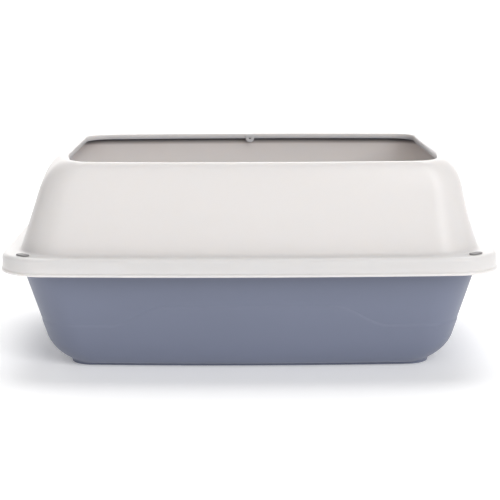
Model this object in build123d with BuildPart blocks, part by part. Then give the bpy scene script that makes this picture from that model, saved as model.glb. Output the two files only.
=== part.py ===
from build123d import *
from math import radians, sin, sqrt
import os

# Open-top cat litter box: a deep pan, a high hood that lifts off, and four push-in corner studs.
# Millimetres. X runs along the box, -Y is its front, Z is up, and the origin is under its middle.

# ---- driving dimensions -------------------------------------------------------------------------
LENGTH = 560.0                  # over the hood's flange, at the middle of its bowed ends
WIDTH = 400.0                   # over the hood's flange, at the middle of its bowed sides
HEIGHT = 236.0                  # to the top of the hood's lip
GAP = 0.3                       # running clearance between separate pieces

# hood: flange, skirt and wall
FLANGE_TOP = 135.0
SKIRT_BOTTOM = 115.0
FLANGE_BOW = (2.0, 9.4)         # how far the ends and the sides bow outwards at their middle
FLANGE_CORNER = 54.0
FLANGE_EDGE_RADIUS = 5.0
HOOD_WALL = 2.5
BEAD_PROUD = 1.2                # bead along the lower edge of the skirt
BEAD_HEIGHT = 3.0
HOOD_BASE = (521.0, 363.5)      # plan size of the wall where it leaves the flange
HOOD_BASE_CORNER = 52.5
HOOD_LEAN = (0.345, 0.21)       # inward lean per mm of height, at the ends and at the sides

# hood: shoulder, opening and lip
SHOULDER_BOTTOM = 203.0         # where the leaning wall turns into the shoulder
SHOULDER_INSET = (21.5, 5.2)    # how far the shoulder turns inwards, at the ends and at the sides
SHOULDER_STEPS = 5
OPENING_CORNER = 33.0
OPENING_BOW = (0.5, 8.3)
LIP_WIDTH = 3.0
LIP_DEPTH = 6.5
LIP_RADIUS = 1.2

# hood: tab with an eyelet at the middle of the rear lip
TAB_WIDTH = 11.0
TAB_PROUD = 1.2
EYELET_Z = 230.0
EYELET_DIAMETER = 3.0

# pan: wall, curve under it, foot and rim
PAN_WALL = 3.0
PAN_TOP = (530.0, 362.0)        # plan size of the wall at the rim
PAN_LEAN = (0.30, 0.22)         # inward lean per mm of drop, at the ends and at the sides
PAN_BOW = (3.0, 7.0)
PAN_TOP_CORNER = 52.5
PAN_LOW_CORNER = 45.5           # where the straight wall would reach the floor
PAN_BASE_CORNER = 26.0          # round the flat of the base
TURN_TOP = 34.0                 # where the wall starts to curve under
TURN_INSET = (31.0, 13.0)       # how far it curves under, at the ends and at the sides
TURN_STEPS = 6
FOOT_SIZE = (416.0, 272.0)
FOOT_CORNER = 26.0
FOOT_HEIGHT = 3.3
RIM_LIP_WIDTH = 2.5
RIM_LIP_BOTTOM = 122.0

# pan: shallow step round the wall, low at the corners and raised along the middle of each long side
STEP_PROUD = 0.7
STEP_LOW = 52.0
STEP_HIGH = 76.0
STEP_HIGH_END = 95.0            # where the raised stretch ends, from the middle of the box
STEP_LOW_START = 156.0          # where the low stretch starts

# corner studs: an oblong head on a round shank
STUD_PLACE = (250.5, 170.8)
STUD_HEAD = (18.0, 9.0)
STUD_HEAD_HEIGHT = 1.5
STUD_HEAD_RADIUS = 0.7
STUD_SHANK_DIAMETER = 6.0
STUD_SHANK_LENGTH = 11.0
STUD_TIP_DIAMETER = 4.4
STUD_TIP_LENGTH = 2.5
FLANGE_HOLE_DIAMETER = 6.1
RIM_HOLE_DIAMETER = 7.0

CORNERS = {
    "front_left": (-1, -1),
    "front_right": (1, -1),
    "rear_left": (-1, 1),
    "rear_right": (1, 1),
}

# ---- places that follow from them ---------------------------------------------------------------
FLANGE_UNDERSIDE = FLANGE_TOP - HOOD_WALL
RIM_TOP = FLANGE_UNDERSIDE - GAP
RIM_INSET = BEAD_PROUD + HOOD_WALL + GAP
SHOULDER_HEIGHT = HEIGHT - SHOULDER_BOTTOM
TURN_HEIGHT = TURN_TOP - FOOT_HEIGHT


def bowed_outline(height, length, width, bows, corner):
    """Round-cornered rectangle with bowed ends and sides; length and width are taken over the bows."""
    x = length / 2 - bows[0]
    y = width / 2 - bows[1]
    with BuildSketch(Plane.XY.offset(height)) as outline:
        with BuildLine():
            ThreePointArc((-x, -y), (0, -width / 2), (x, -y))
            ThreePointArc((x, -y), (length / 2, 0), (x, y))
            ThreePointArc((x, y), (0, width / 2), (-x, y))
            ThreePointArc((-x, y), (-length / 2, 0), (-x, -y))
        make_face()
        fillet(outline.vertices(), corner)
    return outline.sketch


def flange_outline(height, inset=0.0):
    """Plan shape of the hood's flange, drawn at a height and moved inwards by the inset."""
    corner = FLANGE_CORNER - inset
    return bowed_outline(height, LENGTH - 2 * inset, WIDTH - 2 * inset, FLANGE_BOW, corner)


def hood_outline(height, thickness=0.0):
    """Plan shape of the hood's outer wall at a height, or of its inner wall a thickness in and down."""
    rise = (height - FLANGE_TOP) / (HEIGHT - FLANGE_TOP)
    climb = max(0.0, (height - SHOULDER_BOTTOM) / SHOULDER_HEIGHT)
    turn = 1 - sqrt(1 - climb**2)
    insets = [
        lean * (height - FLANGE_TOP) + shoulder * turn + thickness
        for lean, shoulder in zip(HOOD_LEAN, SHOULDER_INSET)
    ]
    length, width = (size - 2 * inset for size, inset in zip(HOOD_BASE, insets))
    bows = [low + (high - low) * rise for low, high in zip(FLANGE_BOW, OPENING_BOW)]
    corner = HOOD_BASE_CORNER + (OPENING_CORNER - HOOD_BASE_CORNER) * rise - thickness
    return bowed_outline(height - thickness, length, width, bows, corner)


def shoulder_heights():
    """Heights of the sections through the shoulder, closer together towards the top."""
    turns = [90 * step / SHOULDER_STEPS for step in range(SHOULDER_STEPS + 1)]
    return [SHOULDER_BOTTOM + SHOULDER_HEIGHT * sin(radians(turn)) for turn in turns]


def pan_outline(height, thickness=0.0, recess=0.0):
    """Plan shape of the pan's outer wall at a height, or of its inner wall a thickness in and up."""
    drop = RIM_TOP - height
    dip = max(0.0, (TURN_TOP - height) / TURN_HEIGHT)
    turn = 1 - sqrt(1 - min(dip, 1.0) ** 2)
    insets = [lean * drop + under * turn + thickness + recess for lean, under in zip(PAN_LEAN, TURN_INSET)]
    length, width = (size - 2 * inset for size, inset in zip(PAN_TOP, insets))
    corner = PAN_TOP_CORNER + (PAN_LOW_CORNER - PAN_TOP_CORNER) * drop / RIM_TOP
    corner += (PAN_BASE_CORNER - PAN_LOW_CORNER) * turn - thickness - recess
    return bowed_outline(height + thickness, length, width, PAN_BOW, corner)


def turn_heights():
    """Heights of the sections through the curve under the wall, closer together towards the base."""
    turns = [90 * step / TURN_STEPS for step in range(TURN_STEPS + 1)]
    return [TURN_TOP - TURN_HEIGHT * sin(radians(turn)) for turn in turns]


def stud_plane(side, height):
    """Plane at a corner stud, with its X axis lying across the corner."""
    place = (side[0] * STUD_PLACE[0], side[1] * STUD_PLACE[1], height)
    return Plane(origin=place, x_dir=(side[0], -side[1], 0), z_dir=(0, 0, 1))


os.makedirs("parts", exist_ok=True)

# ---- pan ----------------------------------------------------------------------------------------
# wall below the step, which stands proud of the wall above it
with BuildPart() as pan_lower:
    loft(sections=[pan_outline(height) for height in (TURN_TOP, RIM_TOP)])
    loft(sections=[pan_outline(height) for height in turn_heights()])
    with BuildSketch(Plane.XZ):
        with BuildLine():
            Spline((STEP_LOW_START, STEP_LOW), (STEP_HIGH_END, STEP_HIGH), tangents=((-1, 0), (-1, 0)))
            Line((STEP_HIGH_END, STEP_HIGH), (-STEP_HIGH_END, STEP_HIGH))
            Spline((-STEP_HIGH_END, STEP_HIGH), (-STEP_LOW_START, STEP_LOW), tangents=((-1, 0), (-1, 0)))
            Polyline(
                (-STEP_LOW_START, STEP_LOW),
                (-LENGTH / 2, STEP_LOW),
                (-LENGTH / 2, 0),
                (LENGTH / 2, 0),
                (LENGTH / 2, STEP_LOW),
                (STEP_LOW_START, STEP_LOW),
            )
        make_face()
    extrude(amount=WIDTH / 2, both=True, mode=Mode.INTERSECT)

# hollow of the pan, with the well inside its foot
with BuildPart() as pan_cavity:
    loft(sections=[pan_outline(height, PAN_WALL) for height in (TURN_TOP, RIM_TOP - PAN_WALL)])
    loft(sections=[pan_outline(height, PAN_WALL) for height in turn_heights()])
    well_length, well_width = (size - 2 * PAN_WALL for size in FOOT_SIZE)
    well = bowed_outline(PAN_WALL, well_length, well_width, PAN_BOW, FOOT_CORNER - PAN_WALL)
    extrude(well, amount=2 * FOOT_HEIGHT)

with BuildPart() as pan:
    loft(sections=[pan_outline(height, recess=STEP_PROUD) for height in (TURN_TOP, RIM_TOP)])
    loft(sections=[pan_outline(height, recess=STEP_PROUD) for height in turn_heights()])
    add(pan_lower.part)
    extrude(bowed_outline(0, *FOOT_SIZE, PAN_BOW, FOOT_CORNER), amount=2 * FOOT_HEIGHT)
    # rim: a flat that the hood's flange rests on, with a lip turned down at its edge
    extrude(flange_outline(RIM_TOP, RIM_INSET), amount=-PAN_WALL)
    with BuildSketch(Plane.XY.offset(RIM_LIP_BOTTOM)):
        add(flange_outline(0, RIM_INSET))
        add(flange_outline(0, RIM_INSET + RIM_LIP_WIDTH), mode=Mode.SUBTRACT)
    extrude(amount=RIM_TOP - RIM_LIP_BOTTOM)
    add(pan_cavity.part, mode=Mode.SUBTRACT)
    for side in CORNERS.values():
        with BuildSketch(stud_plane(side, RIM_TOP)):
            Circle(RIM_HOLE_DIAMETER / 2)
        extrude(amount=-PAN_WALL, mode=Mode.SUBTRACT)
pan.part.label = "pan"
export_step(pan.part, "parts/pan.step")

# ---- hood ---------------------------------------------------------------------------------------
# hollow of the hood, with the space that its skirt hangs round
with BuildPart() as hood_cavity:
    loft(sections=[hood_outline(height, HOOD_WALL) for height in (FLANGE_TOP, SHOULDER_BOTTOM)])
    loft(sections=[hood_outline(height, HOOD_WALL) for height in shoulder_heights()])
    extrude(flange_outline(SKIRT_BOTTOM, BEAD_PROUD + HOOD_WALL), amount=FLANGE_UNDERSIDE - SKIRT_BOTTOM)

with BuildPart() as hood:
    # flange and skirt, with a bead along the lower edge
    extrude(flange_outline(SKIRT_BOTTOM, BEAD_PROUD), amount=FLANGE_TOP - SKIRT_BOTTOM)
    fillet(hood.faces().sort_by(Axis.Z)[-1].edges(), FLANGE_EDGE_RADIUS)
    extrude(flange_outline(SKIRT_BOTTOM), amount=BEAD_HEIGHT)
    # wall and shoulder
    loft(sections=[hood_outline(height) for height in (FLANGE_TOP, SHOULDER_BOTTOM)])
    loft(sections=[hood_outline(height) for height in shoulder_heights()])
    add(hood_cavity.part, mode=Mode.SUBTRACT)
    # lip turned down round the opening
    lip = hood_outline(HEIGHT)
    extrude(lip, amount=-LIP_DEPTH)
    extrude(hood_outline(HEIGHT, LIP_WIDTH), amount=2 * LIP_DEPTH, both=True, mode=Mode.SUBTRACT)
    top_face = hood.faces().sort_by(Axis.Z)[-1]
    fillet(top_face.inner_wires()[0].edges(), LIP_RADIUS)
    # tab hanging from the middle of the rear lip, with its eyelet
    rear = lip.bounding_box().max.Y
    tab_depth = LIP_WIDTH + TAB_PROUD
    with BuildSketch(Plane.XZ.offset(-rear)):
        with Locations((0, EYELET_Z)):
            Circle(TAB_WIDTH / 2)
            Rectangle(TAB_WIDTH, HEIGHT - LIP_RADIUS - EYELET_Z, align=(Align.CENTER, Align.MIN))
    extrude(amount=tab_depth)
    with BuildSketch(Plane.XZ.offset(-rear)):
        with Locations((0, EYELET_Z)):
            Circle(EYELET_DIAMETER / 2)
    extrude(amount=tab_depth, mode=Mode.SUBTRACT)
    for side in CORNERS.values():
        with BuildSketch(stud_plane(side, FLANGE_TOP)):
            Circle(FLANGE_HOLE_DIAMETER / 2)
        extrude(amount=-HOOD_WALL, mode=Mode.SUBTRACT)
hood.part.label = "hood"
export_step(hood.part, "parts/hood.step")

# ---- studs --------------------------------------------------------------------------------------
head_bottom = FLANGE_TOP + GAP
for corner_name, side in CORNERS.items():
    with BuildPart() as stud:
        with BuildSketch(stud_plane(side, head_bottom)):
            SlotOverall(*STUD_HEAD)
        extrude(amount=STUD_HEAD_HEIGHT)
        fillet(stud.faces().sort_by(Axis.Z)[-1].edges(), STUD_HEAD_RADIUS)
        with BuildSketch(stud_plane(side, head_bottom)):
            Circle(STUD_SHANK_DIAMETER / 2)
        extrude(amount=-STUD_SHANK_LENGTH)
        tip = stud.faces().sort_by(Axis.Z)[0]
        chamfer(tip.edges(), STUD_TIP_LENGTH, (STUD_SHANK_DIAMETER - STUD_TIP_DIAMETER) / 2)
    stud_name = f"{corner_name}_stud"
    stud.part.label = stud_name
    export_step(stud.part, f"parts/{stud_name}.step")
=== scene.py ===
from math import asin, atan2, cos, pi, radians, sin, sqrt

import bpy
import numpy as np
from mathutils import Matrix, Vector


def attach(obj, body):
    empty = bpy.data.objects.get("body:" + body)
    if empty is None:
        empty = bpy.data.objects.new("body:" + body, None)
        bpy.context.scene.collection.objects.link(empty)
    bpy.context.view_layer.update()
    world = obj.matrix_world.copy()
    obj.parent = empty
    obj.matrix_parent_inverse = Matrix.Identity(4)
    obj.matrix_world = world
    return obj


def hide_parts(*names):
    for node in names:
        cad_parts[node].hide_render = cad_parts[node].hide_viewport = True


# Cat litter box with hood: the looks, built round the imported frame. The frame is in metres, with X along
# the box, -Y its front, Z up and the origin on the floor under its middle. Sizes below are in millimetres.

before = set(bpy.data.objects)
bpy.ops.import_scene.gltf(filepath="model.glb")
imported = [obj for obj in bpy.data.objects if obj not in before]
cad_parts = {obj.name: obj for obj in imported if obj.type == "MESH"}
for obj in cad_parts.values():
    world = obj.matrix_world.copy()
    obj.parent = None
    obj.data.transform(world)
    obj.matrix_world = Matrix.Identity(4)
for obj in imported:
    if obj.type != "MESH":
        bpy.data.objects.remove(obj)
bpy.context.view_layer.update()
MM = 0.001

# ---- hood sizes ----------------------------------------------------------------------------------
LENGTH, WIDTH, HEIGHT = 560.0, 400.0, 236.0
HOOD_WALL = 2.5
FLANGE_TOP, SKIRT_BOTTOM = 135.0, 115.0
FLANGE_BOW, FLANGE_CORNER, FLANGE_EDGE = (2.0, 9.4), 54.0, 5.0
FLANGE_FILLET = 1.5              # of the corner between the flange's underside and the skirt
COVE = 4.0                       # between the flange and the wall
HOOD_BASE, HOOD_BASE_CORNER, HOOD_LEAN = (521.0, 363.5), 52.5, (0.345, 0.21)
SHOULDER_BOTTOM, SHOULDER_INSET = 203.0, (21.5, 5.2)
OPENING_CORNER, OPENING_BOW = 33.0, (0.5, 8.3)
LIP_WIDTH, LIP_DEPTH, LIP_RADIUS = 3.0, 6.5, 1.2
LIP_JOIN = 1.3                   # from the top to where the shoulder's inner face meets the lip
LIP_SHADE = 8.0                  # height of the band of painted shade under the opening's lip
TAB_WIDTH, TAB_PROUD, EYELET_Z, EYELET_RADIUS = 11.0, 1.2, 230.0, 1.5

# The bead round the skirt's foot and the skirt above it, as insets and heights above the foot.
BEAD_PROUD = 1.2
SKIRT_PROFILE = (
    (0.75, 0.0), (0.35, 0.1), (0.1, 0.35), (0.0, 0.8), (0.0, 2.2), (0.12, 2.6),
    (0.45, 2.95), (0.85, 3.2), (1.1, 3.6), (BEAD_PROUD, 4.4), (BEAD_PROUD, 8.0),
)

# Rounded lower edges, as insets and heights from the sharp edge.
SKIRT_EDGE = ((0.0, 0.6), (0.2, 0.15), (0.6, 0.0))
LIP_EDGE = ((0.0, 0.9), (0.15, 0.35), (0.55, 0.0))
RIM_EDGE = ((0.0, 0.5), (0.2, 0.12), (0.6, 0.0))

# The moulded hood isn't quite symmetric. From UNEVEN_FROM up it leans to the right, most at its front
# right corner, and it flares at both ends behind its front corners. Each span gives where along Y the
# shift starts and where it is full, and UNEVEN_X gives the same for the distance from the middle.
UNEVEN_FROM = 150.0
UNEVEN_X = (0.0, 160.0)
TOP_SHIFT = 1.5
CORNER_SHIFT, CORNER_SPAN = 7.2, (110.0, -130.0)
FLARE_LEFT, FLARE_RIGHT, FLARE_SPAN = 10.0, 8.0, (-150.0, -60.0)

# ---- pan and stud sizes --------------------------------------------------------------------------
PAN_WALL = 3.0
PAN_TOP, PAN_BOW, PAN_LEAN = (530.0, 362.0), (3.0, 7.0), (0.30, 0.22)
PAN_CORNER = (52.5, 45.5, 26.0)  # at the rim, at the foot of the straight wall and under the base
TURN_TOP, TURN_INSET = 34.0, (31.0, 13.0)
TURN_END = 66.0                  # degrees of the curve under the wall before it runs flat to the foot
FOOT, FOOT_CORNER, FOOT_HEIGHT = (416.0, 272.0), 26.0, 3.3
FLAT_CORNER = 1.5                # smallest corner of the rings that fill a flat face
UNDERSIDE_INSETS = (112.0, 80.0, 48.0, 20.0, 2.0, 0.5)
WELL_INSETS = (3.0, 20.0, 48.0, 78.0, 108.0)

# Heights and insets: the foot upwards, and the shallow well over it downwards.
FOOT_PROFILE = ((0.15, 0.15), (0.5, 0.0), (1.6, 0.0), (2.7, 0.0), (3.1, -0.12))
WELL_PROFILE = ((6.4, -0.3), (6.0, -0.12), (5.4, 0.0), (4.0, 0.0), (3.3, 0.3), (PAN_WALL, 1.0))
BASE_JOIN = (3.6, (1.0, 11.0), 4.0)      # height, growth past the foot and larger corner, outside
FLOOR_JOIN = (6.7, (-5.2, 5.0), 1.0)     # the same, inside

RIM_TOP, RIM_INSET, RIM_LIP, RIM_LIP_BOTTOM, RIM_RADIUS = 132.2, 4.0, 2.5, 122.0, 1.2
RIM_FILLET = ((0.8, 0.0), (0.2, 0.3), (0.0, 0.9))        # insets and depths under the rim
RIM_NECK = 1.0                   # fillet between the wall and the rim's underside

STEP_PROUD, STEP_SPREAD = 0.7, 4.0
STEP_LOW, STEP_HIGH, STEP_HIGH_END, STEP_LOW_START = 52.0, 76.0, 95.0, 156.0
STEP_FROM, STEP_TO = 35.0, 118.0         # heights between which the wall's rings rise with the step
LONG_SIDE = 60.0                         # distance from the middle past which a point is on a long side
RINGS_BELOW_STEP = (36.5, 39.0, 42.0, 45.0, 47.5, 49.2)
RINGS_ABOVE_STEP = (55.0, 58.0, 62.0, 67.0, 73.0, 80.0, 88.0, 96.0, 104.0, 111.0, 118.0, 124.0)

STUD_PLACE, STUD_HEAD, STUD_HEAD_HEIGHT, STUD_EDGE = (250.5, 170.8), (18.0, 9.0), 1.5, 0.7
SHANK_RADIUS, SHANK_LENGTH, TIP_RADIUS, TIP_LENGTH = 3.0, 11.0, 2.2, 2.5
STUD_CROWN = 0.15                # rise of the head's top towards its middle
END_RADIUS = 0.8                 # of the flat faces that close a stud
FLANGE_HOLE, RIM_HOLE = 3.05, 3.5
FLANGE_DRILL, RIM_DRILL = (128.0, 140.0), (125.0, 136.0)
GAP = 0.3

SEGMENTS = (32, 22, 48)          # per quarter of an outline: half an end, a corner, half a long side


# ---- outlines and rings --------------------------------------------------------------------------
def outline(size, bows, corner):
    """Round-cornered rectangle with bowed ends and sides, anticlockwise from the middle of the +X end.

    An end and a side are shallow arcs, and the corner is the circle that touches both from inside.
    """
    half = np.array(size) / 2
    bow = np.maximum(bows, 0.01)
    reach = half - bow
    r_end = (reach[1] ** 2 + bow[0] ** 2) / (2 * bow[0])
    r_side = (reach[0] ** 2 + bow[1] ** 2) / (2 * bow[1])
    c_end = np.array([half[0] - r_end, 0.0])
    c_side = np.array([0.0, half[1] - r_side])
    a, b = r_end - corner, r_side - corner
    line = c_side - c_end
    gap = np.hypot(*line)
    along = (a * a - b * b + gap * gap) / (2 * gap)
    off = sqrt(max(a * a - along * along, 0.0))
    unit = line / gap
    centre = c_end + along * unit + off * np.array([unit[1], -unit[0]])
    if centre[0] < 0 or centre[1] < 0:
        centre = c_end + along * unit - off * np.array([unit[1], -unit[0]])
    turn_end = atan2(*(centre - c_end)[::-1])
    turn_side = atan2(*(centre - c_side)[::-1])
    parts = []
    spans = (
        (c_end, r_end, 0.0, turn_end),
        (centre, corner, turn_end, turn_side),
        (c_side, r_side, turn_side, pi / 2),
    )
    for count, (mid, radius, start, stop) in zip(SEGMENTS, spans):
        angles = np.linspace(start, stop, count + 1)[:-1]
        parts.append(np.column_stack([mid[0] + radius * np.cos(angles), mid[1] + radius * np.sin(angles)]))
    quarter = np.vstack(parts)
    top = np.array([[0.0, half[1]]])
    right = np.vstack([quarter, top])
    left = right[::-1][1:] * [-1, 1]
    upper = np.vstack([right, left])
    lower = upper[::-1][1:-1] * [1, -1]
    return np.vstack([upper, lower])


def flat_ring(z, size, bows, corner):
    """Outline at one height, as points in space."""
    plan = outline(size, bows, corner)
    return np.column_stack([plan, np.full(len(plan), z)])


def flange_ring(z, inset):
    """Ring parallel to the flange's edge."""
    size = (LENGTH - 2 * inset, WIDTH - 2 * inset)
    return flat_ring(z, size, FLANGE_BOW, FLANGE_CORNER - inset)


def hood_plan(height, thickness=0.0, outwards=0.0):
    """Size, bows and corner of the hood's wall at a height of its outer face."""
    rise = (height - FLANGE_TOP) / (HEIGHT - FLANGE_TOP)
    climb = min(max(0.0, (height - SHOULDER_BOTTOM) / (HEIGHT - SHOULDER_BOTTOM)), 1.0)
    turn = 1 - sqrt(1 - climb**2)
    size = [
        base - 2 * (lean * (height - FLANGE_TOP) + shoulder * turn + thickness - outwards)
        for base, lean, shoulder in zip(HOOD_BASE, HOOD_LEAN, SHOULDER_INSET)
    ]
    bows = [low + (high - low) * rise for low, high in zip(FLANGE_BOW, OPENING_BOW)]
    corner = HOOD_BASE_CORNER + (OPENING_CORNER - HOOD_BASE_CORNER) * rise - thickness + outwards
    return size, bows, corner


def hood_ring(height, thickness=0.0, outwards=0.0):
    """Ring of the hood's wall, on its outer face or a thickness inside it."""
    size, bows, corner = hood_plan(height, thickness, outwards)
    return flat_ring(height - thickness, size, bows, corner)


def lip_ring(z, inset):
    """Ring parallel to the edge of the top opening."""
    size, bows, corner = hood_plan(HEIGHT)
    return flat_ring(z, [side - 2 * inset for side in size], bows, corner - inset)


def shoulder_height(angle):
    """Height on the hood's shoulder, from angle 0 at its bottom to a quarter turn at its top."""
    return SHOULDER_BOTTOM + (HEIGHT - SHOULDER_BOTTOM) * sin(angle)


def mix(a, b, t):
    """Point or number between a and b, t of the way along."""
    return a * (1 - t) + b * t


def ease(value, start, stop):
    """Smooth change from 0 at the start to 1 at the stop."""
    t = np.clip((value - start) / (stop - start), 0, 1)
    return t * t * (3 - 2 * t)


def arc(start, stop, steps):
    """Angles of an arc in degrees, as sines and cosines."""
    turns = np.radians(np.linspace(start, stop, steps + 1))
    return list(zip(np.cos(turns), np.sin(turns)))


# ---- mesh helpers --------------------------------------------------------------------------------
def rings_to_mesh(name, rings, closed=False, cap_start=False, cap_end=False):
    """Skin over a list of rings with the same number of points, given in millimetres."""
    count = len(rings[0])
    points = np.vstack(rings) * MM
    faces = []
    rows = len(rings) if closed else len(rings) - 1
    for row in range(rows):
        low = row * count
        high = ((row + 1) % len(rings)) * count
        for i in range(count):
            j = (i + 1) % count
            faces.append((low + i, low + j, high + j, high + i))
    if cap_start:
        faces.append(tuple(reversed(range(count))))
    if cap_end:
        last = (len(rings) - 1) * count
        faces.append(tuple(range(last, last + count)))
    mesh = bpy.data.meshes.new(name)
    mesh.from_pydata([tuple(p) for p in points], [], faces)
    mesh.validate()
    mesh.shade_smooth()
    piece = bpy.data.objects.new(name, mesh)
    bpy.context.scene.collection.objects.link(piece)
    return piece


def cut(piece, cutters):
    """Takes the cutters out of the piece and removes them."""
    for cutter in cutters:
        modifier = piece.modifiers.new("hole", "BOOLEAN")
        modifier.operation = "DIFFERENCE"
        modifier.solver = "EXACT"
        modifier.object = cutter
    bake(piece)
    for cutter in cutters:
        bpy.data.objects.remove(cutter)


def bake(piece):
    """Applies the piece's modifiers to its mesh."""
    bpy.context.view_layer.update()
    evaluated = piece.evaluated_get(bpy.context.evaluated_depsgraph_get())
    mesh = bpy.data.meshes.new_from_object(evaluated)
    piece.modifiers.clear()
    piece.data = mesh
    mesh.name = piece.name


def stud_rod(name, place, radius, low, high):
    """Plain rod at a stud's place, used as a cutter."""
    turns = np.linspace(0, 2 * pi, 33)[:-1]
    circle = np.column_stack([np.cos(turns), np.sin(turns)]) * radius + place
    rings = [np.column_stack([circle, np.full(len(circle), z)]) for z in (low, high)]
    return rings_to_mesh(name, rings, cap_start=True, cap_end=True)


# ---- hood ----------------------------------------------------------------------------------------
def hood_outside():
    """Skirt, flange, wall and shoulder, upwards."""
    rings = [flange_ring(SKIRT_BOTTOM + z, inset) for inset, z in SKIRT_PROFILE]
    for c, s in arc(0, 90, 10):
        rings.append(flange_ring(FLANGE_TOP - FLANGE_EDGE * (1 - s), BEAD_PROUD + FLANGE_EDGE * (1 - c)))
    edge = rings[-1]
    foot = hood_ring(FLANGE_TOP, 0, COVE)
    for t in (0.25, 0.5, 0.75, 1.0):
        rings.append(mix(edge, foot, t))
    bend, wall = hood_ring(FLANGE_TOP), hood_ring(FLANGE_TOP + COVE)
    for t in np.linspace(0, 1, 9)[1:]:
        rings.append(foot * (1 - t) ** 2 + bend * 2 * t * (1 - t) + wall * t * t)
    for z in np.linspace(FLANGE_TOP + COVE, SHOULDER_BOTTOM, 18)[1:-1]:
        rings.append(hood_ring(z))
    for angle in np.linspace(0, pi / 2, 27):
        rings.append(hood_ring(shoulder_height(angle)))
    return rings


def hood_lip():
    """Top, inner face and lower edge of the lip round the opening."""
    rings = [lip_ring(HEIGHT, (LIP_WIDTH - LIP_RADIUS) * 0.5)]
    for c, s in arc(90, 0, 5):
        rings.append(lip_ring(HEIGHT - LIP_RADIUS * (1 - s), LIP_WIDTH - LIP_RADIUS * (1 - c)))
    rings.append(lip_ring(HEIGHT - LIP_DEPTH / 2, LIP_WIDTH))
    bottom = HEIGHT - LIP_DEPTH
    rings += [lip_ring(bottom + z, LIP_WIDTH - inset) for inset, z in LIP_EDGE]
    rings += [lip_ring(bottom + z, inset) for inset, z in reversed(LIP_EDGE)]
    return rings


def hood_inside():
    """Inner face of the shoulder and wall, underside of the flange and inside of the skirt, downwards."""
    top = HEIGHT - LIP_JOIN
    rings = [lip_ring(top - HOOD_WALL, 0.0)]
    start = asin((top - SHOULDER_BOTTOM) / (HEIGHT - SHOULDER_BOTTOM))
    for angle in np.linspace(start, 0, 14):
        rings.append(hood_ring(shoulder_height(angle), HOOD_WALL))
    for z in np.linspace(SHOULDER_BOTTOM, FLANGE_TOP, 10)[1:-1]:
        rings.append(hood_ring(z, HOOD_WALL))
    under = FLANGE_TOP - HOOD_WALL
    inner = BEAD_PROUD + HOOD_WALL
    wall = hood_ring(FLANGE_TOP, HOOD_WALL)
    skirt = flange_ring(under, inner + FLANGE_FILLET)
    for t in (0.0, 0.33, 0.67, 1.0):
        rings.append(mix(wall, skirt, t))
    for c, s in arc(90, 0, 4)[1:]:
        rings.append(flange_ring(under - FLANGE_FILLET * (1 - s), inner + FLANGE_FILLET * (1 - c)))
    rings.append(flange_ring(mix(under, SKIRT_BOTTOM, 0.5), inner))
    rings += [flange_ring(SKIRT_BOTTOM + z, inner - inset) for inset, z in SKIRT_EDGE]
    return rings


def uneven(ring):
    """Hood's top as moulded: shifted to the right, and flared at its ends."""
    x, y, z = ring.T
    left = x < 0
    rise = np.clip((z - UNEVEN_FROM) / (HEIGHT - UNEVEN_FROM), 0, 1) ** 2
    shift = TOP_SHIFT + ease(y, *CORNER_SPAN) * np.where(left, 0.0, CORNER_SHIFT)
    shift += ease(y, *FLARE_SPAN) * np.where(left, -FLARE_LEFT, FLARE_RIGHT)
    moved = ring.copy()
    moved[:, 0] += rise * ease(np.abs(x), *UNEVEN_X) * shift
    return moved


# ---- pan -----------------------------------------------------------------------------------------
def pan_plan(height, thickness=0.0, recess=0.0):
    """Size and corner of the pan's wall at a height of its outer face."""
    drop = RIM_TOP - height
    dip = min(max(0.0, (TURN_TOP - height) / (TURN_TOP - FOOT_HEIGHT)), 1.0)
    turn = 1 - sqrt(1 - dip**2)
    insets = [lean * drop + under * turn + thickness + recess for lean, under in zip(PAN_LEAN, TURN_INSET)]
    size = [top - 2 * inset for top, inset in zip(PAN_TOP, insets)]
    corner = PAN_CORNER[0] + (PAN_CORNER[1] - PAN_CORNER[0]) * drop / RIM_TOP
    corner += (PAN_CORNER[2] - PAN_CORNER[1]) * turn - thickness - recess
    return size, corner


def pan_ring(height, thickness=0.0, recess=0.0):
    """Ring of the pan's wall, on its outer face or a thickness inside it."""
    size, corner = pan_plan(height, thickness, recess)
    return flat_ring(height + thickness, size, PAN_BOW, corner)


def turn_height(angle):
    """Height on the curve under the pan's wall, from 0 at its top to 90 degrees at the base."""
    return TURN_TOP - (TURN_TOP - FOOT_HEIGHT) * sin(radians(angle))


def foot_ring(z, inset):
    """Ring parallel to the edge of the pan's foot."""
    size = [side - 2 * inset for side in FOOT]
    return flat_ring(z, size, PAN_BOW, max(FOOT_CORNER - inset, FLAT_CORNER))


def join_ring(z, growth, larger_corner):
    """Ring between the foot and the curve under the wall."""
    size = [side + more for side, more in zip(FOOT, growth)]
    return flat_ring(z, size, PAN_BOW, FOOT_CORNER + larger_corner)


def wave(x):
    """Height of the step above its low stretch, along the long sides."""
    return (STEP_HIGH - STEP_LOW) * ease(np.abs(x), STEP_LOW_START, STEP_HIGH_END)


def outer_ring(z, recess):
    """Ring of the pan's outer face that rises with the step, up along the leaning long sides."""
    ring = pan_ring(z, 0.0, recess)
    span = STEP_LOW - STEP_FROM if z < STEP_LOW else STEP_TO - STEP_LOW
    reach = max(1 - abs(z - STEP_LOW) / span, 0.0)
    lift = wave(ring[:, 0]) * reach * (np.abs(ring[:, 1]) > LONG_SIDE)
    ring[:, 2] += lift
    ring[:, 1] += np.sign(ring[:, 1]) * PAN_LEAN[1] * lift
    return ring


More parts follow.
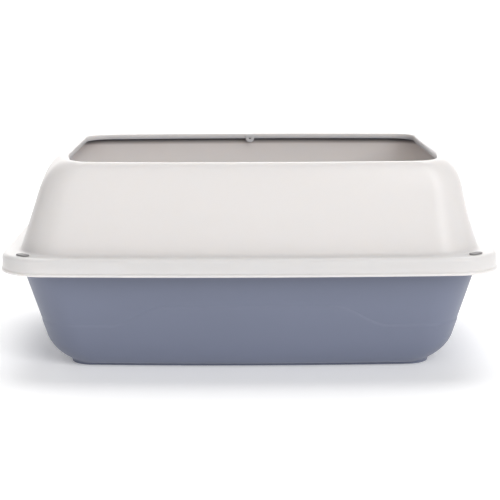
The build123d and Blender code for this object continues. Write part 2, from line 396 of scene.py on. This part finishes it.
def pan_outside():
    """Underside, foot, curved base and wall with its step, upwards."""
    rings = [foot_ring(0.0, inset) for inset in UNDERSIDE_INSETS]
    rings += [foot_ring(z, inset) for z, inset in FOOT_PROFILE]
    rings.append(join_ring(*BASE_JOIN))
    for angle in np.linspace(TURN_END, 0, 22):
        rings.append(pan_ring(turn_height(angle)))
    for z in RINGS_BELOW_STEP:
        rings.append(outer_ring(z, 0.0))
    for t in np.linspace(0, 1, 11):
        rings.append(outer_ring(STEP_LOW + STEP_SPREAD * (t - 0.5), STEP_PROUD * ease(t, 0, 1)))
    for z in RINGS_ABOVE_STEP:
        rings.append(outer_ring(z, STEP_PROUD))
    return rings


def pan_rim():
    """Underside of the rim, its turned-down lip and its rounded edge."""
    under = RIM_TOP - PAN_WALL
    neck = pan_ring(under, 0.0, STEP_PROUD - RIM_NECK)
    inner = RIM_INSET + RIM_LIP
    fillet = [flange_ring(under - depth, inner + inset) for inset, depth in RIM_FILLET]
    rings = [pan_ring(under - RIM_NECK, 0.0, STEP_PROUD), neck, mix(neck, fillet[0], 0.5)]
    rings += fillet
    rings += [flange_ring(RIM_LIP_BOTTOM + z, inner - inset) for inset, z in RIM_EDGE]
    rings += [flange_ring(RIM_LIP_BOTTOM + z, RIM_INSET + inset) for inset, z in reversed(RIM_EDGE)]
    for c, s in arc(0, 90, 5):
        rings.append(flange_ring(RIM_TOP - RIM_RADIUS * (1 - s), RIM_INSET + RIM_RADIUS * (1 - c)))
    return rings


def pan_inside(edge):
    """Top of the rim from its rounded edge, the inner wall and the floor with its well."""
    top = RIM_TOP - PAN_WALL
    inside = pan_ring(top, PAN_WALL, -RIM_RADIUS)
    rings = [mix(edge, inside, t) for t in (0.35, 0.7, 1.0)]
    for c, s in arc(90, 0, 5)[1:]:
        rings.append(pan_ring(top - RIM_RADIUS * (1 - s), PAN_WALL, -RIM_RADIUS * (1 - c)))
    for z in np.linspace(top - RIM_RADIUS, TURN_TOP, 16)[1:-1]:
        rings.append(pan_ring(z, PAN_WALL))
    for angle in np.linspace(0, TURN_END, 18):
        rings.append(pan_ring(turn_height(angle), PAN_WALL))
    rings.append(join_ring(*FLOOR_JOIN))
    rings += [foot_ring(z, PAN_WALL + inset) for z, inset in WELL_PROFILE]
    rings += [foot_ring(PAN_WALL, PAN_WALL + inset) for inset in WELL_INSETS]
    return rings


# ---- studs ---------------------------------------------------------------------------------------
def stud_rings(side):
    """Oblong head across the corner, on a round shank with a tapered tip."""
    turns = np.linspace(0, 2 * pi, 65)[:-1]
    circle = np.column_stack([np.cos(turns), np.sin(turns)])
    across = np.array([side[0], -side[1]]) / sqrt(2)
    forward = np.array([-across[1], across[0]])
    place = np.array([side[0] * STUD_PLACE[0], side[1] * STUD_PLACE[1]])

    def ring(z, radius, run=0.0):
        """Ring of two half circles, drawn apart by a run to each side."""
        plan = circle * radius
        plan[:, 0] += np.sign(np.round(circle[:, 0], 6)) * run
        plan = place + plan[:, :1] * across + plan[:, 1:] * forward
        return np.column_stack([plan, np.full(len(plan), z)])

    head = FLANGE_TOP + GAP
    tip = head - SHANK_LENGTH
    shoulder = tip + TIP_LENGTH
    rings = [
        ring(tip, END_RADIUS),
        ring(tip, TIP_RADIUS - 0.3),
        ring(tip + 0.1, TIP_RADIUS - 0.08),
        ring(tip + 0.3, TIP_RADIUS),
        ring(shoulder, SHANK_RADIUS),
        ring(mix(shoulder, head, 0.6), SHANK_RADIUS),
        ring(head - 0.01, SHANK_RADIUS),
        ring(head, SHANK_RADIUS + 0.3, 0.2),
    ]
    radius = STUD_HEAD[1] / 2
    run = (STUD_HEAD[0] - STUD_HEAD[1]) / 2
    top = head + STUD_HEAD_HEIGHT
    side_top = top - STUD_CROWN
    rings += [
        ring(head, radius - 0.2, run),
        ring(head + 0.1, radius, run),
        ring(side_top - STUD_EDGE, radius, run),
    ]
    for c, s in arc(0, 80, 6):
        rings.append(ring(side_top - STUD_EDGE * (1 - s), radius - STUD_EDGE * (1 - c), run))
    rings += [
        ring(top - 0.06, radius - 1.6, run),
        ring(top - 0.01, radius - 2.8, run * 0.9),
        ring(top, END_RADIUS, run * 0.6),
    ]
    return rings


# ---- tab with the eyelet -------------------------------------------------------------------------
def tab_rings(rear):
    """Round-ended tab that hangs from the rear lip, as a closed tube of rings round its eyelet."""
    turns = np.linspace(0, 2 * pi, 97)[:-1]
    half = TAB_WIDTH / 2
    top = HEIGHT - LIP_RADIUS - 0.1 - EYELET_Z

    def edge(inset):
        """Outline of the tab round the eyelet: a half circle below and a square top."""
        points = []
        for turn in turns:
            c, s = cos(turn), sin(turn)
            reach = half - inset
            if s > 0:
                reach = min(reach / max(abs(c), 1e-6), (top - inset) / s)
            points.append((reach * c, reach * s))
        return np.array(points)

    def ring(plan, y):
        """Upright ring at a depth, drawn round the eyelet's middle."""
        return np.column_stack([plan[:, 0], np.full(len(plan), y), EYELET_Z + plan[:, 1]])

    hole = np.column_stack([np.cos(turns), np.sin(turns)])
    front = rear - LIP_WIDTH - TAB_PROUD
    back = rear - 0.4
    rings = [ring(edge(0.0), back)]
    for inset, depth in ((0.0, 0.6), (0.08, 0.25), (0.35, 0.05), (0.7, 0.0)):
        rings.append(ring(edge(inset), front + depth))
    for growth, depth in ((0.5, 0.0), (0.15, 0.08), (0.0, 0.4)):
        rings.append(ring(hole * (EYELET_RADIUS + growth), front + depth))
    rings.append(ring(hole * EYELET_RADIUS, back))
    return rings


# ---- materials -----------------------------------------------------------------------------------
class Nodes:
    """Short way to add nodes and links to a material."""

    def __init__(self, name):
        self.material = bpy.data.materials.new(name)
        self.material.use_nodes = True
        self.tree = self.material.node_tree
        self.tree.nodes.clear()
        self.shader = self.add("ShaderNodeBsdfPrincipled")
        output = self.add("ShaderNodeOutputMaterial")
        self.link(self.shader.outputs["BSDF"], output.inputs["Surface"])
        coordinates = self.add("ShaderNodeTexCoord")
        self.place = coordinates.outputs["Object"]
        self.normal = coordinates.outputs["Normal"]

    def add(self, kind, **values):
        node = self.tree.nodes.new(kind)
        for key, value in values.items():
            if hasattr(node, key):
                setattr(node, key, value)
            else:
                node.inputs[key.replace("_", " ")].default_value = value
        return node

    def link(self, a, b):
        self.tree.links.new(a, b)

    def noise(self, scale, detail, rough=0.5, stretch=None):
        """Noise over the piece's own place in space, with a scale per metre."""
        node = self.add("ShaderNodeTexNoise", Scale=scale, Detail=detail, Roughness=rough)
        source = self.place
        if stretch:
            mapping = self.add("ShaderNodeMapping")
            mapping.inputs["Scale"].default_value = stretch
            self.link(source, mapping.inputs["Vector"])
            source = mapping.outputs["Vector"]
        self.link(source, node.inputs["Vector"])
        return node.outputs["Fac"]

    def span(self, value, low, high, start, stop):
        """Maps a value's run from start to stop onto low to high, and holds it there beyond."""
        node = self.add("ShaderNodeMapRange")
        node.inputs["From Min"].default_value = start
        node.inputs["From Max"].default_value = stop
        node.inputs["To Min"].default_value = low
        node.inputs["To Max"].default_value = high
        self.link(value, node.inputs["Value"])
        return node.outputs["Result"]

    def ramp(self, value, stops):
        """Colour for a value, from a list of (value, colour)."""
        node = self.add("ShaderNodeValToRGB")
        elements = node.color_ramp.elements
        while len(elements) < len(stops):
            elements.new(0.5)
        for element, (place, colour) in zip(elements, stops):
            element.position = place
            element.color = (*colour, 1)
        self.link(value, node.inputs["Fac"])
        return node.outputs["Color"]

    def product(self, *values):
        """All the values multiplied together."""
        result = values[0]
        for value in values[1:]:
            node = self.add("ShaderNodeMath", operation="MULTIPLY")
            self.link(result, node.inputs[0])
            self.link(value, node.inputs[1])
            result = node.outputs["Value"]
        return result

    def painted_shade_band(self):
        """Mask of the painted shade: a band right under the opening's lip, on the faces that look into the
        hood.
        """
        plan = self.add("ShaderNodeVectorMath", operation="MULTIPLY")
        plan.inputs[1].default_value = (1.0, 1.0, 0.0)
        self.link(self.place, plan.inputs[0])
        outwards = self.add("ShaderNodeVectorMath", operation="DOT_PRODUCT")
        self.link(plan.outputs["Vector"], outwards.inputs[0])
        self.link(self.normal, outwards.inputs[1])
        axes = self.add("ShaderNodeSeparateXYZ")
        self.link(self.place, axes.inputs["Vector"])
        lip_bottom = (HEIGHT - LIP_DEPTH) * MM
        return self.product(
            self.span(outwards.outputs["Value"], 1.0, 0.0, -0.02, 0.0),
            self.span(axes.outputs["Z"], 0.0, 1.0, lip_bottom - LIP_SHADE * MM, lip_bottom - 0.3 * MM),
            self.span(axes.outputs["Z"], 1.0, 0.0, lip_bottom - 0.1 * MM, lip_bottom + 0.1 * MM),
        )

    def bump(self, layers):
        """Chain of bump nodes from (height, distance in metres, strength)."""
        normal = None
        for height, distance, strength in layers:
            node = self.add("ShaderNodeBump")
            node.inputs["Distance"].default_value = distance
            node.inputs["Strength"].default_value = strength
            self.link(height, node.inputs["Height"])
            if normal is not None:
                self.link(normal, node.inputs["Normal"])
            normal = node.outputs["Normal"]
        self.link(normal, self.shader.inputs["Normal"])


def moulded(name, colour, spread, roughness, rough_spread, grain, ripple, subsurface=0.0, painted_lip_shade=None):
    """Injection-moulded plastic: flow variation, a fine moulded grain, a slow ripple and rubbed spots, and
    optionally a band of painted shade under the hood's lip.
    """
    nodes = Nodes(name)
    shader = nodes.shader
    low = [c * (1 - spread) for c in colour]
    high = [min(c * (1 + spread), 1.0) for c in colour]
    flow = nodes.noise(scale=4.0, detail=1.5, rough=0.4, stretch=(1.0, 1.0, 2.2))
    tint = nodes.ramp(flow, ((0.3, low), (0.7, high)))
    # Painted shade: the base colour is mixed towards near-black in the band under the lip, standing in for
    # the shadow the lip casts on the wall behind it.
    if painted_lip_shade:
        lip_shaded = nodes.add("ShaderNodeMix", data_type="RGBA")
        # among the node's sockets, 0 is the factor, 6 and 7 the colours, and output 2 their mix
        nodes.link(nodes.painted_shade_band(), lip_shaded.inputs[0])
        nodes.link(tint, lip_shaded.inputs[6])
        lip_shaded.inputs[7].default_value = (*painted_lip_shade, 1)
        tint = lip_shaded.outputs[2]
    nodes.link(tint, shader.inputs["Base Color"])
    worn = nodes.noise(scale=22.0, detail=2.0)
    smoothest, roughest = roughness - rough_spread, roughness + rough_spread
    nodes.link(nodes.span(worn, smoothest, roughest, 0.25, 0.75), shader.inputs["Roughness"])
    waves = nodes.noise(scale=ripple[0], detail=1.0, rough=0.3, stretch=(1.0, 1.0, 3.0))
    specks = nodes.noise(scale=grain[0], detail=2.0)
    nodes.bump(((waves, ripple[1], 1.0), (specks, grain[1], 1.0)))
    shader.inputs["IOR"].default_value = 1.49
    if subsurface:
        shader.inputs["Subsurface Weight"].default_value = subsurface
        shader.inputs["Subsurface Radius"].default_value = (0.0075, 0.007, 0.0065)
        shader.inputs["Subsurface Scale"].default_value = 1.0
    return nodes.material


# Grain and ripple are the noise's scale and its depth in metres.
HOOD_FINISH = {
    "colour": (0.74, 0.713, 0.699),
    "spread": 0.008,
    "roughness": 0.31,
    "rough_spread": 0.02,
    "grain": (60.0, 0.000004),
    "ripple": (4.0, 0.00008),
    "subsurface": 0.85,
}
PAN_FINISH = {
    "colour": (0.166, 0.186, 0.258),
    "spread": 0.03,
    "roughness": 0.42,
    "rough_spread": 0.04,
    "grain": (1400.0, 0.00003),
    "ripple": (7.0, 0.0004),
}
STUD_FINISH = {
    "colour": (0.23, 0.225, 0.225),
    "spread": 0.03,
    "roughness": 0.45,
    "rough_spread": 0.05,
    "grain": (1600.0, 0.00003),
    "ripple": (60.0, 0.0001),
}
# The hood's colour carries a painted shadow, near-black, in a band under the opening's lip.
hood_plastic = moulded("hood_plastic", **HOOD_FINISH, painted_lip_shade=(0.10, 0.095, 0.09))
tab_plastic = moulded("tab_plastic", **HOOD_FINISH)
pan_plastic = moulded("pan_plastic", **PAN_FINISH)
stud_plastic = moulded("stud_plastic", **STUD_FINISH)


# ---- pieces --------------------------------------------------------------------------------------
SHARP_ANGLE = 35.0               # degrees between two faces past which their edge stays sharp


def finish_piece(piece, material, body, node=None):
    """Gives a piece its material and smooth shading, and ties it to its body."""
    piece.data.materials.clear()
    piece.data.materials.append(material)
    for face in piece.data.polygons:
        face.material_index = 0
    piece.data.shade_smooth()
    piece.data.set_sharp_from_angle(angle=radians(SHARP_ANGLE))
    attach(piece, body)
    if node:
        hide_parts(node)


CORNERS = {
    "front_left": (-1, -1),
    "front_right": (1, -1),
    "rear_left": (-1, 1),
    "rear_right": (1, 1),
}
places = [np.array(side) * STUD_PLACE for side in CORNERS.values()]

hood_rings = [uneven(ring) for ring in hood_outside() + hood_lip() + hood_inside()]
hood = rings_to_mesh("hood_shell", hood_rings, closed=True)
cut(hood, [stud_rod("flange_hole", place, FLANGE_HOLE, *FLANGE_DRILL) for place in places])
finish_piece(hood, hood_plastic, "hood", "hood")

pan_rings = pan_outside() + pan_rim()
pan_rings += pan_inside(pan_rings[-1])
pan = rings_to_mesh("pan_shell", pan_rings, cap_start=True, cap_end=True)
cut(pan, [stud_rod("rim_hole", place, RIM_HOLE, *RIM_DRILL) for place in places])
finish_piece(pan, pan_plastic, "pan", "pan")

rear_of_opening = hood_plan(HEIGHT)[0][1] / 2
tab = rings_to_mesh("eyelet_tab", tab_rings(rear_of_opening), closed=True)
finish_piece(tab, tab_plastic, "hood")

for corner, side in CORNERS.items():
    name = corner + "_stud"
    stud = rings_to_mesh(name + "_head", stud_rings(side), cap_start=True, cap_end=True)
    finish_piece(stud, stud_plastic, name, name)

# ---- floor, light and camera ---------------------------------------------------------------------
FLOOR_HALF = 60.0                # metres
floor_mesh = bpy.data.meshes.new("floor")
floor_corners = [(x * FLOOR_HALF, y * FLOOR_HALF, 0.0) for x, y in ((-1, -1), (1, -1), (1, 1), (-1, 1))]
floor_mesh.from_pydata(floor_corners, [], [(0, 1, 2, 3)])
floor = bpy.data.objects.new("floor", floor_mesh)
bpy.context.scene.collection.objects.link(floor)
floor_nodes = Nodes("floor_white")
floor_nodes.shader.inputs["Base Color"].default_value = (0.93, 0.93, 0.935, 1)
floor_nodes.shader.inputs["Roughness"].default_value = 0.7
floor_nodes.shader.inputs["Specular IOR Level"].default_value = 0.1
floor_nodes.shader.inputs["Emission Color"].default_value = (1.0, 1.0, 1.0, 1)
floor_nodes.shader.inputs["Emission Strength"].default_value = 0.2
floor_mesh.materials.append(floor_nodes.material)

# Studio light all round, with a bright backdrop behind the box.
BACKDROP = {"From Min": 0.6, "From Max": 0.95, "To Min": 0.28, "To Max": 1.7}
world = bpy.data.worlds.new("studio")
bpy.context.scene.world = world
world.use_nodes = True
world_tree = world.node_tree
background = world_tree.nodes["Background"]
background.inputs["Color"].default_value = (1.0, 0.985, 0.975, 1)
way = world_tree.nodes.new("ShaderNodeTexCoord")
way_axes = world_tree.nodes.new("ShaderNodeSeparateXYZ")
backdrop = world_tree.nodes.new("ShaderNodeMapRange")
for socket, value in BACKDROP.items():
    backdrop.inputs[socket].default_value = value
world_tree.links.new(way.outputs["Generated"], way_axes.inputs["Vector"])
world_tree.links.new(way_axes.outputs["Y"], backdrop.inputs["Value"])
world_tree.links.new(backdrop.outputs["Result"], background.inputs["Strength"])


def direction(round_box, rise):
    """Direction towards a light, in degrees to the right of the front and above the floor."""
    turn, climb = radians(round_box), radians(rise)
    return (sin(turn) * cos(climb), -cos(turn) * cos(climb), sin(climb))


def sun(name, towards, strength, angle):
    """Very soft directional light that comes from the given direction."""
    lamp = bpy.data.lights.new(name, "SUN")
    lamp.energy = strength
    lamp.angle = radians(angle)
    holder = bpy.data.objects.new(name, lamp)
    holder.rotation_euler = Vector(towards).to_track_quat("Z", "Y").to_euler()
    bpy.context.scene.collection.objects.link(holder)


sun("key", direction(34, 29), 1.4, 38)
sun("fill", direction(0, 34), 0.34, 45)
sun("top", direction(172, 66), 1.75, 45)

# The photograph's camera: lens in millimetres, place in millimetres and turns in radians.
CAMERA_LENS, CAMERA_SENSOR = 110.3184, 36.0
CAMERA_PLACE = (9.02, -1836.24, 443.07)
YAW, PITCH, ROLL = -0.0048, 0.1797, -0.0044
camera_data = bpy.data.cameras.new("photo_camera")
camera_data.sensor_fit = "HORIZONTAL"
camera_data.sensor_width = CAMERA_SENSOR
camera_data.lens = CAMERA_LENS
camera_data.clip_start = 0.01
camera_data.clip_end = 300
camera = bpy.data.objects.new("photo_camera", camera_data)
bpy.context.scene.collection.objects.link(camera)
forward = Vector((sin(YAW) * cos(PITCH), cos(YAW) * cos(PITCH), -sin(PITCH)))
right = forward.cross(Vector((0, 0, 1))).normalized()
up = right.cross(forward)
turned_right = right * cos(ROLL) + up * sin(ROLL)
turned_up = up * cos(ROLL) - right * sin(ROLL)
rotation = Matrix((turned_right, turned_up, -forward)).transposed().to_4x4()
camera.matrix_world = Matrix.Translation([axis * MM for axis in CAMERA_PLACE]) @ rotation
bpy.context.scene.camera = camera
bpy.context.scene.view_settings.view_transform = "Standard"
